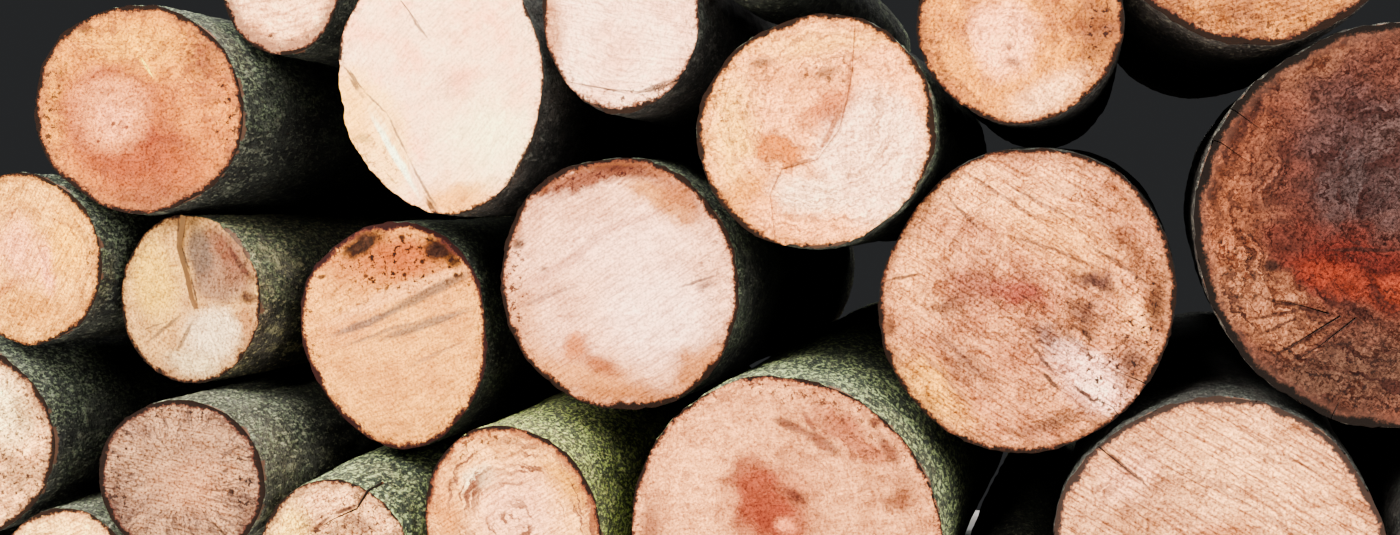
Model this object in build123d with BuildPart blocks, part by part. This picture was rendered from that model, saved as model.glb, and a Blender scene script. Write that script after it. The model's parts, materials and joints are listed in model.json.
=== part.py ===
from build123d import *
from dataclasses import dataclass, field
from itertools import combinations
import math
import os

# A stack of sawn round logs, 1 m cordwood, as it lies on level ground.
# Millimetres, +Z up. The sawn front ends face -Y and the logs run back along +Y.
# The origin is on the ground, under the middle of the stack.

# Sawn length of every log
LOG_LENGTH = 1000

# Room that is left where two logs touch
CLEARANCE = 0.3

# Mean diameter of each log at the front of the stack, row by row from the left
GROUND_1_DIAMETER = 172
GROUND_2_DIAMETER = 176
GROUND_3_DIAMETER = 213
GROUND_4_DIAMETER = 88
GROUND_5_DIAMETER = 112
GROUND_6_DIAMETER = 346
GROUND_7_DIAMETER = 146
GROUND_8_DIAMETER = 338
GROUND_9_DIAMETER = 324
LOW_1_DIAMETER = 250
LOW_2_DIAMETER = 195
LOW_3_DIAMETER = 210
MIDDLE_1_DIAMETER = 200
MIDDLE_2_DIAMETER = 191
MIDDLE_3_DIAMETER = 249
MIDDLE_4_DIAMETER = 281
MIDDLE_5_DIAMETER = 321
MIDDLE_6_DIAMETER = 415
UPPER_1_DIAMETER = 252
UPPER_2_DIAMETER = 267
UPPER_3_DIAMETER = 254
TOP_1_DIAMETER = 168
TOP_2_DIAMETER = 195
TOP_3_DIAMETER = 118
TOP_4_DIAMETER = 216
TOP_5_DIAMETER = 322

# Free ground between a ground log and the log on its left
GROUND_2_ROOM = 112
GROUND_3_ROOM = 159
GROUND_5_ROOM = 82

# How far a sawn front end stands behind the front of the stack, or in front of it
SET_BACK = 60
STAND_OUT = 60

# Split end of middle log 2: the torn half lies this deep at the split
SPLIT_DEPTH = 13

# Split end of ground log 3: the crack across its sawn face
CRACK_DEPTH = 45
CRACK_WIDTH = 4

# Steps that the felling cuts left in the sawn faces
FELLING_STEP = 3
HINGE_STEP = 2.5

# Points that draw the outline of a log, and places along it where its room is measured
OUTLINE_POINTS = 20
MEASURED_PLACES = 5


@dataclass(eq=False)
class Log:
    """A log, with its shape on the stack's front plane and its centre there and on the back plane.

    Its outline is a circle made oval, egg-shaped or square by shares of the radius,
    each turned to a direction in degrees from +X towards +Z.
    """

    name: str
    diameter: float
    taper: float = 0.0
    oval: tuple = (0.0, 0.0)
    egg: tuple = (0.0, 0.0)
    square: tuple = (0.0, 0.0)
    set_back: float = 0.0
    front_lean: tuple = (0.0, 0.0)
    back_lean: tuple = (0.0, 0.0)
    front: tuple = (0.0, 0.0)
    back: tuple = (0.0, 0.0)
    rests_on: list = field(default_factory=list)

    def share(self, y):
        """Size of the section at y, as a share of the front one."""
        return 1 - self.taper * y / LOG_LENGTH

    def centre(self, y):
        along = y / LOG_LENGTH
        return tuple(a + (b - a) * along for a, b in zip(self.front, self.back))

    def reach(self, angle, y):
        """How far the outline reaches from its centre in a direction, with two derivatives."""
        radius = self.diameter / 2 * self.share(y)
        reach, slope, bend = radius, 0.0, 0.0
        for lobes, (amount, turned) in ((2, self.oval), (3, self.egg), (4, self.square)):
            phase = lobes * (angle - math.radians(turned))
            reach += radius * amount * math.cos(phase)
            slope -= radius * amount * lobes * math.sin(phase)
            bend -= radius * amount * lobes**2 * math.cos(phase)
        return reach, slope, bend

    def outline(self, y):
        """Points around the section at y, as seen from the front."""
        x, z = self.centre(y)
        points = []
        for step in range(OUTLINE_POINTS):
            angle = 2 * math.pi * step / OUTLINE_POINTS
            reach, slope, _ = self.reach(angle, y)
            points.append(
                (
                    x + reach * math.cos(angle) - slope * math.sin(angle),
                    z + reach * math.sin(angle) + slope * math.cos(angle),
                )
            )
        return points


GROUND = Log("ground", 0)
DOWN = math.radians(270)


def room_between(log, centre, other, y):
    """Room between a log and what lies beside it at y, and the direction out of the other one."""
    if other is GROUND:
        return centre[1] - log.reach(DOWN, y)[0], (0.0, 1.0)
    other_centre = other.centre(y)
    dx, dz = centre[0] - other_centre[0], centre[1] - other_centre[1]
    angle = math.atan2(dz, dx)
    for _ in range(12):
        mine = log.reach(angle + math.pi, y)
        theirs = other.reach(angle, y)
        slope = dz * math.cos(angle) - dx * math.sin(angle) - mine[1] - theirs[1]
        bend = -dx * math.cos(angle) - dz * math.sin(angle) - mine[2] - theirs[2]
        angle -= max(-0.5, min(0.5, slope / bend)) if bend < 0 else 0.0
    out = (math.cos(angle), math.sin(angle))
    return dx * out[0] + dz * out[1] - mine[0] - theirs[0], out


def seat(log, supports, rooms, y):
    """Centre at y of a log that lies in the pocket above its two supports."""
    left, right = supports
    above = log.diameter + left.diameter
    x = (left.centre(y)[0] + right.centre(y)[0]) / 2
    z = max(left.centre(y)[1], right.centre(y)[1]) + above
    if right is GROUND:
        x = left.centre(y)[0] + above
        z = log.diameter / 2
    for _ in range(60):
        (room_a, a), (room_b, b) = (room_between(log, (x, z), other, y) for other in supports)
        short_a, short_b = rooms[0] - room_a, rooms[1] - room_b
        cross = a[0] * b[1] - a[1] * b[0]
        if abs(cross) < 0.02:
            z += log.diameter / 4
            continue
        step_x = (short_a * b[1] - short_b * a[1]) / cross
        step_z = (short_b * a[0] - short_a * b[0]) / cross
        limit = min(1.0, log.diameter / 3 / (math.hypot(step_x, step_z) or 1.0))
        x, z = x + step_x * limit, z + step_z * limit
    return x, z


def least_room(log, other):
    """Least room between two logs over the length that they share."""
    first = max(log.set_back, other.set_back)
    last = min(log.set_back, other.set_back) + LOG_LENGTH
    if other is GROUND:
        first, last = log.set_back, log.set_back + LOG_LENGTH
    places = [first + (last - first) * step / (MEASURED_PLACES - 1) for step in range(MEASURED_PLACES)]
    return min(room_between(log, log.centre(y), other, y)[0] for y in places)


def settle(log, supports, front_rooms, back_rooms):
    """Lay a log on two supports, so that the least room along each of them is the wanted one."""
    clear = [0.0 if other is GROUND else CLEARANCE for other in supports]
    wanted = [c + min(rooms) for c, rooms in zip(clear, zip(front_rooms, back_rooms))]
    front, back = ([c + room for c, room in zip(clear, rooms)] for rooms in (front_rooms, back_rooms))
    for _ in range(10):
        log.front = seat(log, supports, front, 0)
        log.back = seat(log, supports, back, LOG_LENGTH)
        short = [want - least_room(log, other) for want, other in zip(wanted, supports)]
        if max(abs(s) for s in short) < 0.001:
            break
        front = [room + s for room, s in zip(front, short)]
        back = [room + s for room, s in zip(back, short)]


stack = []


def lay(log, left, right, front_rooms=(0, 0), back_rooms=(0, 0)):
    """Lay a log on its two supports, or on a neighbour that is in its way there."""
    near = [left, right]
    settle(log, near, front_rooms, back_rooms)
    wanted = log.front
    rests_on = (left, right)
    tried = set()
    while True:
        crossed = [other for other in stack if least_room(log, other) < CLEARANCE / 2]
        if not crossed:
            break
        near += [other for other in crossed if other not in near]
        pairs = [pair for pair in combinations(near, 2) if (pair[0].name, pair[1].name) not in tried]
        if not pairs:
            break
        places = []
        for pair in pairs:
            settle(log, pair, (0, 0), (0, 0))
            under = sum(max(0.0, CLEARANCE / 2 - least_room(log, other)) for other in stack)
            away = math.dist(log.front, wanted)
            places.append((under > 0.01, away, under, pair, log.front, log.back))
            tried.add((pair[0].name, pair[1].name))
        _, _, _, rests_on, log.front, log.back = min(places, key=lambda place: place[:3])
    log.rests_on = list(rests_on)
    stack.append(log)
    return log


# Ground row, on the floor
ground_1 = Log("ground_log_1", GROUND_1_DIAMETER, taper=-0.03, set_back=20)
ground_1.front = (0.0, ground_1.reach(DOWN, 0)[0])
ground_1.back = (0.0, ground_1.reach(DOWN, LOG_LENGTH)[0])
stack.append(ground_1)
ground_2 = lay(
    Log("ground_log_2", GROUND_2_DIAMETER, taper=-0.03, set_back=-20),
    ground_1,
    GROUND,
    (GROUND_2_ROOM, 0),
    (GROUND_2_ROOM, 0),
)
ground_3 = lay(
    Log("ground_log_3", GROUND_3_DIAMETER, taper=-0.02, oval=(0.09, 90), set_back=-STAND_OUT),
    ground_2,
    GROUND,
    (GROUND_3_ROOM, 0),
    (GROUND_3_ROOM, 0),
)
ground_4 = lay(
    Log("ground_log_4", GROUND_4_DIAMETER, taper=-0.1, set_back=-20),
    ground_3,
    GROUND,
)
ground_5 = lay(
    Log("ground_log_5", GROUND_5_DIAMETER, taper=-0.08, set_back=10),
    ground_4,
    GROUND,
    (GROUND_5_ROOM, 0),
    (GROUND_5_ROOM, 0),
)
ground_6 = lay(
    Log("ground_log_6", GROUND_6_DIAMETER, oval=(0.03, 90), set_back=-STAND_OUT, front_lean=(1, 1)),
    ground_5,
    GROUND,
)
ground_7 = lay(
    Log("ground_log_7", GROUND_7_DIAMETER, taper=-0.02, set_back=15),
    ground_6,
    GROUND,
)
ground_8 = lay(
    Log("ground_log_8", GROUND_8_DIAMETER, set_back=-15, front_lean=(-1, 1)),
    ground_7,
    GROUND,
)
ground_9 = lay(
    Log("ground_log_9", GROUND_9_DIAMETER, set_back=-10),
    ground_8,
    GROUND,
)

# Low row, in the pockets of the ground row
low_1 = lay(
    Log("low_log_1", LOW_1_DIAMETER, oval=(0.04, 0), set_back=-20, front_lean=(0, -1)),
    ground_1,
    ground_2,
    (7, 0),
)
low_2 = lay(
    Log("low_log_2", LOW_2_DIAMETER, oval=(0.05, 0), set_back=-STAND_OUT, front_lean=(1, 0)),
    ground_2,
    ground_3,
    (23, 6),
)
low_3 = lay(
    Log("low_log_3", LOW_3_DIAMETER, oval=(0.05, 110), set_back=-STAND_OUT, front_lean=(1, -1)),
    ground_4,
    ground_5,
    (13, 0),
)

# Middle row
middle_3 = lay(
    Log(
        "middle_log_3",
        MIDDLE_3_DIAMETER,
        oval=(0.07, 100),
        egg=(0.035, 285),
        set_back=SET_BACK,
        front_lean=(-1, 0),
    ),
    ground_3,
    low_3,
    (13, 28),
)
middle_4 = lay(
    Log(
        "middle_log_4",
        MIDDLE_4_DIAMETER,
        oval=(0.025, 110),
        square=(0.01, 45),
        set_back=20,
        front_lean=(0, 1),
    ),
    low_3,
    ground_6,
    (29, 9),
)
middle_5 = lay(
    Log("middle_log_5", MIDDLE_5_DIAMETER, oval=(0.035, 65), set_back=10, front_lean=(1, 0)),
    ground_6,
    ground_8,
    (13, 0),
)
middle_6 = lay(
    Log("middle_log_6", MIDDLE_6_DIAMETER, set_back=-5),
    ground_8,
    ground_9,
    (7, 12),
)
middle_2 = lay(
    Log("middle_log_2", MIDDLE_2_DIAMETER, oval=(0.045, 85), set_back=30, front_lean=(0, 2)),
    low_2,
    middle_3,
    (6, 28),
)
middle_1 = lay(
    Log("middle_log_1", MIDDLE_1_DIAMETER, oval=(0.02, 110), front_lean=(0, -1)),
    low_1,
    middle_2,
    (6, 0),
)

# Upper row
upper_1 = lay(
    Log("upper_log_1", UPPER_1_DIAMETER, oval=(0.035, 0), front_lean=(1, -1)),
    middle_1,
    middle_2,
)
upper_2 = lay(
    Log("upper_log_2", UPPER_2_DIAMETER, oval=(0.085, 95), egg=(0.025, 275), front_lean=(-1, 0)),
    middle_3,
    middle_4,
    (21, 15),
)
upper_3 = lay(
    Log("upper_log_3", UPPER_3_DIAMETER, oval=(0.03, 30), set_back=-20, front_lean=(0, 1)),
    middle_4,
    middle_5,
    (7, 0),
)

# Top of the stack
top_2 = lay(
    Log("top_log_2", TOP_2_DIAMETER, oval=(0.08, 90), front_lean=(1, 0)),
    upper_2,
    upper_3,
    (0, 29),
)
top_4 = lay(
    Log("top_log_4", TOP_4_DIAMETER, front_lean=(0, 1)),
    upper_3,
    middle_5,
    (0, 19),
)
top_5 = lay(
    Log("top_log_5", TOP_5_DIAMETER, front_lean=(-1, 0)),
    top_4,
    middle_6,
)
top_1 = lay(
    Log("top_log_1", TOP_1_DIAMETER, oval=(0.08, 90), set_back=SET_BACK, front_lean=(0, 1)),
    upper_1,
    upper_2,
    (0, 38),
)
top_3 = lay(
    Log("top_log_3", TOP_3_DIAMETER),
    top_2,
    upper_3,
    (9, 27),
)


# Sunk regions of the front faces: depth, and corners in shares of the radius to the right and up
FELLING_STEPS = {
    upper_2: (
        FELLING_STEP,
        (
            (-1.2, 0.4),
            (-0.83, 0.21),
            (-0.68, -0.04),
            (-0.47, -0.26),
            (-0.26, -0.66),
            (0.02, -1.2),
            (-1.2, -1.2),
        ),
    ),
    upper_3: (
        HINGE_STEP,
        (
            (0.34, 1.2),
            (0.3, 0.49),
            (0.26, 0.28),
            (0.2, 0.03),
            (0.02, -0.22),
            (-0.28, -0.3),
            (-0.38, -0.51),
            (-0.3, -1.2),
            (1.3, -1.2),
            (1.3, 1.2),
        ),
    ),
    top_2: (
        HINGE_STEP,
        (
            (-1.2, -0.6),
            (-0.53, -0.72),
            (-0.11, -0.79),
            (0.24, -0.82),
            (0.59, -0.72),
            (1.2, -0.6),
            (1.2, -1.3),
            (-1.2, -1.3),
        ),
    ),
}
TORN_REGION = (
    (-0.1, 1.2),
    (-0.1, 0.96),
    (-0.16, 0.64),
    (-0.06, 0.3),
    (0.0, 0.01),
    (0.06, -0.12),
    (0.4, -0.06),
    (0.84, 0.01),
    (1.3, 0.05),
    (1.3, 1.2),
)
CRACK_COURSE = ((0.46, 1.12), (0.36, 0.93), (0.26, 0.76), (-0.01, 0.63), (-0.24, 0.48))


def cut_plane(log, y, lean, facing):
    """Plane of a saw cut across a log. Facing is -1 at the front end and 1 at the back end."""
    x, z = log.centre(y)
    up, across = (math.sin(math.radians(angle)) for angle in lean)
    return Plane(origin=(x, y, z), x_dir=(1, facing * across, 0), z_dir=(-across, facing, facing * up))


def front_plane(log):
    return cut_plane(log, log.set_back, log.front_lean, -1)


def on_face(log, *places):
    """Points on a sawn face, from shares of the log's radius to the right and up."""
    radius = log.diameter / 2
    return [(right * radius, up * radius) for right, up in places]


def sunk_step(log, depth, corners):
    """A region of the front face that lies deeper, up to the felling cut that ends it."""
    with BuildSketch(front_plane(log)) as region:
        with BuildLine():
            Polyline(*on_face(log, *corners), close=True)
        make_face()
    return region.sketch, -depth


def torn_half(log):
    """The torn part of a face: deepest along the split, level with the sawn part at the rim."""
    radius = log.diameter / 2
    face = front_plane(log)
    lean = math.degrees(math.atan2(SPLIT_DEPTH, radius))
    torn = Plane(
        origin=face.from_local_coords(Vector(-0.1 * radius, 0, -SPLIT_DEPTH)),
        x_dir=face.x_dir,
        z_dir=face.z_dir,
    ).rotated((0, -lean, 0))
    with BuildSketch(torn) as region:
        with BuildLine():
            Polyline(*on_face(log, *TORN_REGION), close=True)
        make_face()
    return region.sketch, radius


def open_crack(log):
    """A crack that curves down across the face and closes as it goes."""
    side = on_face(log, *CRACK_COURSE)
    other_side = [(right + CRACK_WIDTH, up - CRACK_WIDTH) for right, up in side[:-1]]
    with BuildSketch(front_plane(log)) as region:
        with BuildLine():
            Spline(*side)
            Spline(side[-1], *reversed(other_side))
            Line(other_side[0], side[0])
        make_face()
    return region.sketch, -CRACK_DEPTH


def face_cuts(log):
    """What is cut out of a log's front face: sketches, and how far each is cut."""
    if log is middle_2:
        return [torn_half(log)]
    if log is ground_3:
        return [open_crack(log)]
    if log in FELLING_STEPS:
        return [sunk_step(log, *FELLING_STEPS[log])]
    return []


# Wood that is sawn off square behind each end: a share of the log's diameter, and so much more
SPARE_SHARE = 0.1
SPARE = 5


def saw(log):
    """The log as one solid, cut square or slightly leaning at both ends."""
    spare = log.diameter * SPARE_SHARE + SPARE
    y_front = log.set_back
    y_back = log.set_back + LOG_LENGTH
    with BuildPart() as body:
        for y in (y_front - spare, y_back + spare):
            with BuildSketch(Plane(origin=(0, y, 0), x_dir=(1, 0, 0), z_dir=(0, -1, 0))):
                with BuildLine():
                    Spline(*log.outline(y), periodic=True)
                make_face()
        loft(ruled=True)
        split(bisect_by=front_plane(log), keep=Keep.BOTTOM)
        split(bisect_by=cut_plane(log, y_back, log.back_lean, 1), keep=Keep.BOTTOM)
        for region, depth in face_cuts(log):
            extrude(region, amount=depth, mode=Mode.SUBTRACT)
    return body.part


def main():
    pieces = {log.name: saw(log) for log in stack}
    boxes = [piece.bounding_box() for piece in pieces.values()]
    middle_x = (min(box.min.X for box in boxes) + max(box.max.X for box in boxes)) / 2
    middle_y = (min(box.min.Y for box in boxes) + max(box.max.Y for box in boxes)) / 2
    os.makedirs("parts", exist_ok=True)
    for name, piece in pieces.items():
        placed = piece.moved(Location((-middle_x, -middle_y, 0)))
        placed.label = name
        export_step(placed, f"parts/{name}.step")


main()
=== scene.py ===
import bpy
import json
import math
import numpy as np
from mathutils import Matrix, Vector, noise
from mathutils.bvhtree import BVHTree


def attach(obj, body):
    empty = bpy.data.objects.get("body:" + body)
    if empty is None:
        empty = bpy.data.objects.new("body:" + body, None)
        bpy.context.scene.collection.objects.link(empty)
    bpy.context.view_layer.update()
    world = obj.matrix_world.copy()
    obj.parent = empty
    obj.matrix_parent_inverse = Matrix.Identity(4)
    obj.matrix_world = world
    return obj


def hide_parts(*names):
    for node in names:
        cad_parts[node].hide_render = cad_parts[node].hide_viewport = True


# A stack of sawn round logs, bark on, with their sawn ends to the front.
# Metres, in the part's frame: +Z up, +Y along the logs from the front ends to the back ends.
# Places on a sawn end are shares of the log's radius, to the right and up, in hundredths in the tables.

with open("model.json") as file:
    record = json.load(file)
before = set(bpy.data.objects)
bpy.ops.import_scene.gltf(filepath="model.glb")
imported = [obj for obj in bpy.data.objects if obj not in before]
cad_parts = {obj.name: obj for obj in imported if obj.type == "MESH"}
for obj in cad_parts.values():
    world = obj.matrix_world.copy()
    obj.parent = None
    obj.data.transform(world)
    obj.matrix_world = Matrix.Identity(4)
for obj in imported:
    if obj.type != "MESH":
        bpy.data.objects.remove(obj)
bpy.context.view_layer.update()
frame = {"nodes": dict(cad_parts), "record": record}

MM = 0.001
LOG_LENGTH = 1.0

# The plain log: sides round it, saw-cut rings on its ends, and stations along it, closer at the front
SIDES = 144
FRONT_RINGS = (0.012, 0.016, 0.022, 0.03, 0.05, 0.07, 0.08, 0.09, 0.09, 0.09, 0.09, 0.09, 0.09, 0.07)
BACK_RINGS = (0.03, 0.07, 0.12, 0.18, 0.2, 0.2)
STATION_STEPS = (
    [1.5 * MM, 2.5 * MM]
    + [4 * MM] * 24
    + [8 * MM] * 15
    + [20 * MM] * 38
    + [12 * MM, 5 * MM, 3 * MM]
)

# A face that looks this much along the log belongs to one of its ends
END_FACE = 0.9

# Where a packed log's outline is measured, behind its front end and before its back end
FRONT_MEASURE = 60 * MM
BACK_MEASURE = 30 * MM
RIM_ZONE = 20 * MM

# Which faces make up a saw cut: flat enough, large enough, and no further from the proudest one
FLAT_ENOUGH = 0.9985
LARGE_ENOUGH = 1e-6
SAME_CUT = 0.5 * MM

# Relief of stem, bark and saw cut, all of it inwards: its depth, and the size of its features
LUMP, LUMP_SIZE = 4 * MM, 100 * MM
WRINKLE, WRINKLE_SIZE = 2 * MM, 14 * MM
CUT_WAVE, WAVE_SIZE = 0.9 * MM, 45 * MM

# Bark that broke off at the front rim: its thickness, the size of the chips, and how far back they reach
BARK_THICKNESS = 4 * MM
CHIP_SIZE, REACH_SIZE = 35 * MM, 20 * MM
LEAST_REACH, MORE_REACH = 4 * MM, 14 * MM

# How far the noise of one seed lies from that of the next
SEED_STEP = 7.31


def select_only(piece):
    bpy.ops.object.select_all(action="DESELECT")
    piece.select_set(True)
    bpy.context.view_layer.objects.active = piece


def switch(mode):
    bpy.ops.object.mode_set(mode=mode)


def select_end(log, facing):
    """Selects the faces of one end of a log, and ends in edit mode."""
    switch("EDIT")
    bpy.ops.mesh.select_mode(type="FACE")
    bpy.ops.mesh.select_all(action="DESELECT")
    switch("OBJECT")
    for face in log.data.polygons:
        face.select = face.normal.y * facing > END_FACE
    switch("EDIT")


def draw_out(*steps):
    """Draws the active sheet out along Y to a closed block, step by step."""
    switch("EDIT")
    bpy.ops.mesh.select_all(action="SELECT")
    for step in steps:
        bpy.ops.mesh.extrude_region_move(TRANSFORM_OT_translate={"value": (0, step, 0)})
    bpy.ops.mesh.select_all(action="SELECT")
    bpy.ops.mesh.normals_make_consistent(inside=False)
    switch("OBJECT")


def model_plain_log():
    """A log of radius 1 with square-cut ends, drawn out of a disc."""
    bpy.ops.mesh.primitive_circle_add(
        vertices=SIDES, radius=1, fill_type="NGON", rotation=(math.radians(90), 0, 0)
    )
    log = bpy.context.object
    bpy.ops.object.transform_apply()
    draw_out(*STATION_STEPS)
    for facing, rings in ((-1, FRONT_RINGS), (1, BACK_RINGS)):
        select_end(log, facing)
        for width in rings:
            bpy.ops.mesh.inset(thickness=width)
        bpy.ops.mesh.poke()
    switch("OBJECT")
    return log


def values(things, what, width):
    """One vector of each vertex or face of a mesh."""
    found = np.empty(len(things) * width)
    things.foreach_get(what, found)
    return found.reshape(-1, width)


def coordinates(mesh):
    return values(mesh.vertices, "co", 3)


def map_on_end(mesh, shares):
    """Maps a mesh onto the disc of a sawn end, from the shares of the radius at its vertices."""
    corners = np.empty(len(mesh.loops), dtype=np.int32)
    mesh.loops.foreach_get("vertex_index", corners)
    mesh.uv_layers.new(name="end").data.foreach_set("uv", (shares[corners] * 0.5 + 0.5).ravel())


class Stem:
    """The shape of one packed log: its two saw cuts, its axis and its outline near both ends."""

    def __init__(self, node):
        mesh = frame["nodes"][node].data
        points = coordinates(mesh)
        tree = BVHTree.FromPolygons(
            [Vector(point) for point in points], [tuple(face.vertices) for face in mesh.polygons]
        )
        low, high = points[:, 1].min(), points[:, 1].max()
        front = points[points[:, 1] < low + RIM_ZONE]
        back = points[points[:, 1] > high - RIM_ZONE]
        self.ends = [(rim.min(0) + rim.max(0)) / 2 for rim in (front, back)]
        self.cuts = [self.saw_cut(mesh, end, facing) for end, facing in zip(self.ends, (-1, 1))]
        for end, cut in zip(self.ends, self.cuts):
            end[1] = cut[0]
        self.angles = np.linspace(-math.pi, math.pi, SIDES, endpoint=False)
        self.stations = (self.ends[0][1] + FRONT_MEASURE, self.ends[1][1] - BACK_MEASURE)
        self.radii = [self.outline(tree, y) for y in self.stations]
        self.radius = float(self.radii[0].mean())

    def saw_cut(self, mesh, end, facing):
        """Where the proudest flat of an end crosses the log's axis, and how it leans there."""
        normals, centres = values(mesh.polygons, "normal", 3), values(mesh.polygons, "center", 3)
        areas = values(mesh.polygons, "area", 1)[:, 0]
        flat = (normals[:, 1] * facing > FLAT_ENOUGH) & (areas > LARGE_ENOUGH)
        normals, centres, areas = normals[flat], centres[flat], areas[flat]
        away = centres - end
        depth = away[:, 1] + (away[:, 0] * normals[:, 0] + away[:, 2] * normals[:, 2]) / normals[:, 1]
        proud = (depth * facing).max() * facing
        near = abs(depth - proud) < SAME_CUT
        lean = np.average(normals[near], axis=0, weights=areas[near])
        return end[1] + proud, lean[0] / lean[1], lean[2] / lean[1]

    def cut_at(self, which, x, z):
        """Y of the front cut, 0, or the back cut, 1, at places across the log."""
        y, lean_x, lean_z = self.cuts[which]
        end = self.ends[which]
        return y - (x - end[0]) * lean_x - (z - end[2]) * lean_z

    def axis(self, y):
        front, back = self.ends
        along = (y - front[1]) / (back[1] - front[1])
        return front[0] + (back[0] - front[0]) * along, front[2] + (back[2] - front[2]) * along

    def outline(self, tree, y):
        """Radii round the axis at y, felt from outside."""
        x, z = self.axis(y)
        found = []
        for angle in self.angles:
            way = Vector((math.cos(angle), 0, math.sin(angle)))
            hit = tree.ray_cast(Vector((x, y, z)) + way, -way)[0]
            found.append((hit - Vector((x, y, z))).length)
        return np.array(found)

    def reach(self, angle, y):
        """Radii at angles round the axis and places along it."""
        near, far = (np.interp(angle, self.angles, radii, period=math.tau) for radii in self.radii)
        return near + (far - near) * (y - self.stations[0]) / (self.stations[1] - self.stations[0])

    def on_front(self, right, up, depth):
        """A point at a depth in the front end, from shares of the radius."""
        end = self.ends[0]
        x, z = end[0] + right * self.radius, end[2] + up * self.radius
        return Vector((x, self.cut_at(0, x, z) + depth, z))

    def shares(self, points):
        """Shares of the outline's own reach, to the right and up, for points near the front end."""
        end = self.ends[0]
        right, up = points[:, 0] - end[0], points[:, 2] - end[2]
        reach = self.reach(np.arctan2(up, right), end[1])
        return np.column_stack([right / reach, up / reach])


def rough(points, size, seed, octaves=2):
    """Noise from 0 to 1 at points, with features of about that size."""
    start = seed * SEED_STEP
    return np.array(
        [
            0.5 + 0.5 * noise.fractal(Vector((x / size + start, y / size, z / size)), 1.0, 2.0, octaves)
            for x, y, z in points
        ]
    ).clip(0, 1)


def smooth_step(low, high, value):
    share = ((value - low) / (high - low)).clip(0, 1)
    return share * share * (3 - 2 * share)


def fit(log, stem, seed, chips):
    """Gives a copy of the plain log the outline, lean and relief of one packed log."""
    unit = coordinates(log.data)
    angle, share = np.arctan2(unit[:, 2], unit[:, 0]), np.hypot(unit[:, 0], unit[:, 2])
    along = unit[:, 1] / sum(STATION_STEPS)
    straight = stem.ends[0][1] + along * (stem.ends[1][1] - stem.ends[0][1])
    centre_x, centre_z = stem.axis(straight)
    reach = stem.reach(angle, straight)
    side = share > 0.999

    # The stem's lumps are drawn out along it, and the wrinkles of the bark run round it
    rim = np.column_stack([np.cos(angle) * reach, straight * 0.4, np.sin(angle) * reach])
    lump = smooth_step(0.2, 0.8, rough(rim, LUMP_SIZE, seed)) * LUMP
    ragged = smooth_step(0.25, 0.75, rough(rim * (1, 2.5, 1), WRINKLE_SIZE, seed + 1)) * WRINKLE

    # Bark is missing over a share of the rim, and reaches back unevenly where it is
    edge = rim.copy()
    edge[:, 1] = 0
    broken = smooth_step(1 - chips, 1.12 - chips, rough(edge, CHIP_SIZE, seed + 2, 3))
    hang = LEAST_REACH + MORE_REACH * rough(edge, REACH_SIZE, seed + 3)
    bared = broken * (1 - smooth_step(hang * 0.6, hang, along * LOG_LENGTH))
    reach = reach - lump - np.where(side, ragged + bared * BARK_THICKNESS * 0.8, 0)

    x = centre_x + share * reach * np.cos(angle)
    z = centre_z + share * reach * np.sin(angle)
    front, back = stem.cut_at(0, x, z), stem.cut_at(1, x, z)
    y = front + along * (back - front)
    wave = rough(np.column_stack([x, z * 1.7, x * 0]), WAVE_SIZE, seed + 4) * CUT_WAVE
    y += np.where(along < 1e-5, wave, 0) - np.where(along > 1 - 1e-5, wave, 0)
    log.data.vertices.foreach_set("co", np.column_stack([x, y, z]).ravel())
    bare = log.data.attributes.new("bared", "FLOAT", "POINT")
    bare.data.foreach_set("value", np.where(side, bared, 0))
    log.data.update()


def hex_colour(code):
    """An sRGB hex colour as the linear one that the shaders take."""
    parts = [int(code[place : place + 2], 16) / 255 for place in (0, 2, 4)]
    linear = [part / 12.92 if part <= 0.04045 else ((part + 0.055) / 1.055) ** 2.4 for part in parts]
    return (*linear, 1)


def add(tree, kind, links, out=0, **settings):
    """Adds a shader node and hands on an output. Links holds sockets to join or values, by input."""
    made = tree.nodes.new("ShaderNode" + kind)
    for name, value in settings.items():
        setattr(made, name, value)
    for socket, value in links.items():
        if isinstance(value, bpy.types.NodeSocket):
            tree.links.new(value, made.inputs[socket])
        else:
            made.inputs[socket].default_value = value
    return made.outputs[out] if len(made.outputs) else None


# Inputs and output of a colour mix
AMOUNT, UNDER, OVER, MIXED = 0, 6, 7, 2

# What a darker or a lighter place does to the wood or bark that it lies in
MOTTLE_SHADE = "BBA398"
FIBRE_SHADE = "96776C"
GRIT_SHADE = "363634"
GLEAM = "A8A8A8"


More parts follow.
